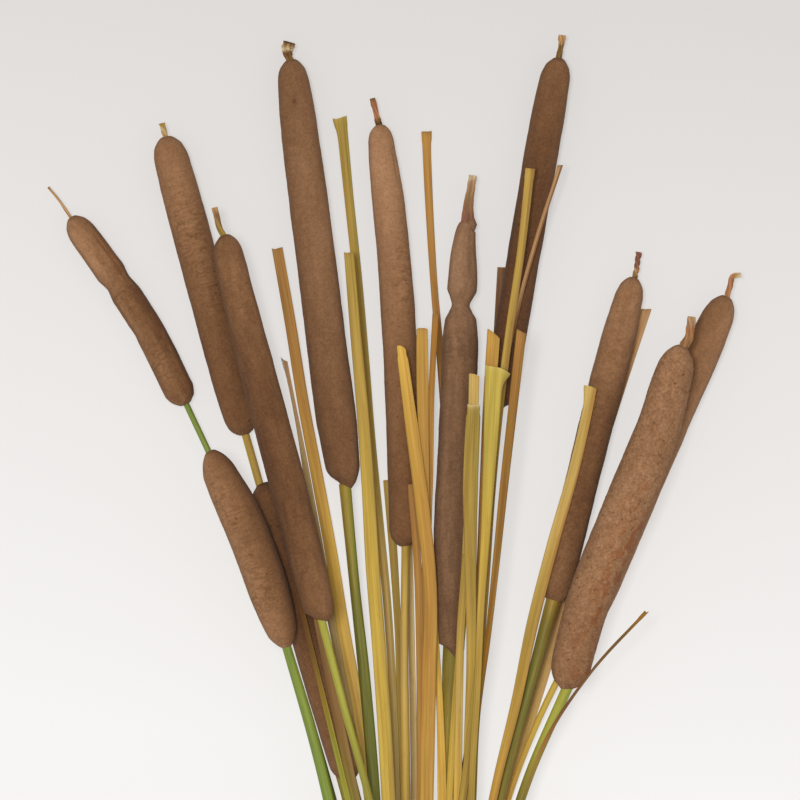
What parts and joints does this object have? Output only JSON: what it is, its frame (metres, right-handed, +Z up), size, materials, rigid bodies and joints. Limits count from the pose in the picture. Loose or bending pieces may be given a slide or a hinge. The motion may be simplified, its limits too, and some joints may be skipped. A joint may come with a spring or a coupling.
{
  "type": "loose bunch of cut cattail stems",
  "caption": "Loose bunch of cut cattails with brown velvety seed spikes, green and straw stems and dry strap leaves, laid down on a surface.",
  "frame": {"origin": "middle of the bounding box's base, on the surface that the bunch lies on", "axes": "+Y from the cut feet towards the spikes' tips, +X across the bunch, +Z up from the surface"},
  "size_m": [0.3476, 0.6178, 0.0477],
  "materials": {
    "green_stem": "smooth fresh green stalk with fine lengthwise ribs",
    "straw_stem": "smooth straw to olive stalk with fine lengthwise ribs",
    "seed_spike": "matt velvety brown, faintly wrinkled across and mottled",
    "dry_tip": "dry, ragged tan to brown stalk end",
    "gold_leaf": "dry gold blade with fine lengthwise veins",
    "green_leaf": "yellow-green to olive blade with fine lengthwise veins",
    "brown_leaf": "dry tan to brown blade with fine lengthwise veins"
  },
  "bodies": {
    "root": {"leaf_01": "brown_leaf", "leaf_02": "brown_leaf", "leaf_03": "green_leaf", "leaf_04": "green_leaf", "leaf_05": "gold_leaf", "leaf_06": "gold_leaf", "leaf_07": "brown_leaf", "leaf_08": "gold_leaf", "leaf_09": "gold_leaf", "leaf_10": "brown_leaf", "leaf_11": "brown_leaf", "leaf_12": "green_leaf", "leaf_13": "green_leaf", "leaf_14": "green_leaf", "leaf_15": "brown_leaf", "leaf_16": "gold_leaf", "leaf_17": "brown_leaf", "leaf_18": "gold_leaf", "leaf_19": "brown_leaf", "leaf_20": "gold_leaf", "leaf_21": "brown_leaf", "leaf_22": "brown_leaf", "leaf_23": "green_leaf", "leaf_24": "green_leaf", "leaf_25": "brown_leaf", "spike_01": "seed_spike", "spike_02": "seed_spike", "spike_03": "seed_spike", "spike_04": "seed_spike", "spike_05": "seed_spike", "spike_06": "seed_spike", "spike_07": "seed_spike", "spike_08": "seed_spike", "spike_09": "seed_spike", "spike_10": "seed_spike", "spike_11": "seed_spike", "spike_12": "seed_spike", "stem_01": "green_stem", "stem_02": "straw_stem", "stem_03": "green_stem", "stem_04": "straw_stem", "stem_05": "green_stem", "stem_06": "straw_stem", "stem_07": "straw_stem", "stem_08": "straw_stem", "stem_09": "straw_stem", "stem_10": "straw_stem", "stem_11": "green_stem", "stem_12": "green_stem", "tip_01": "dry_tip", "tip_02": "dry_tip", "tip_03": "dry_tip", "tip_06": "dry_tip", "tip_07": "dry_tip", "tip_08": "dry_tip", "tip_09": "dry_tip", "tip_10": "dry_tip", "tip_11": "dry_tip", "tip_12": "dry_tip"}
  },
  "joints": []
}
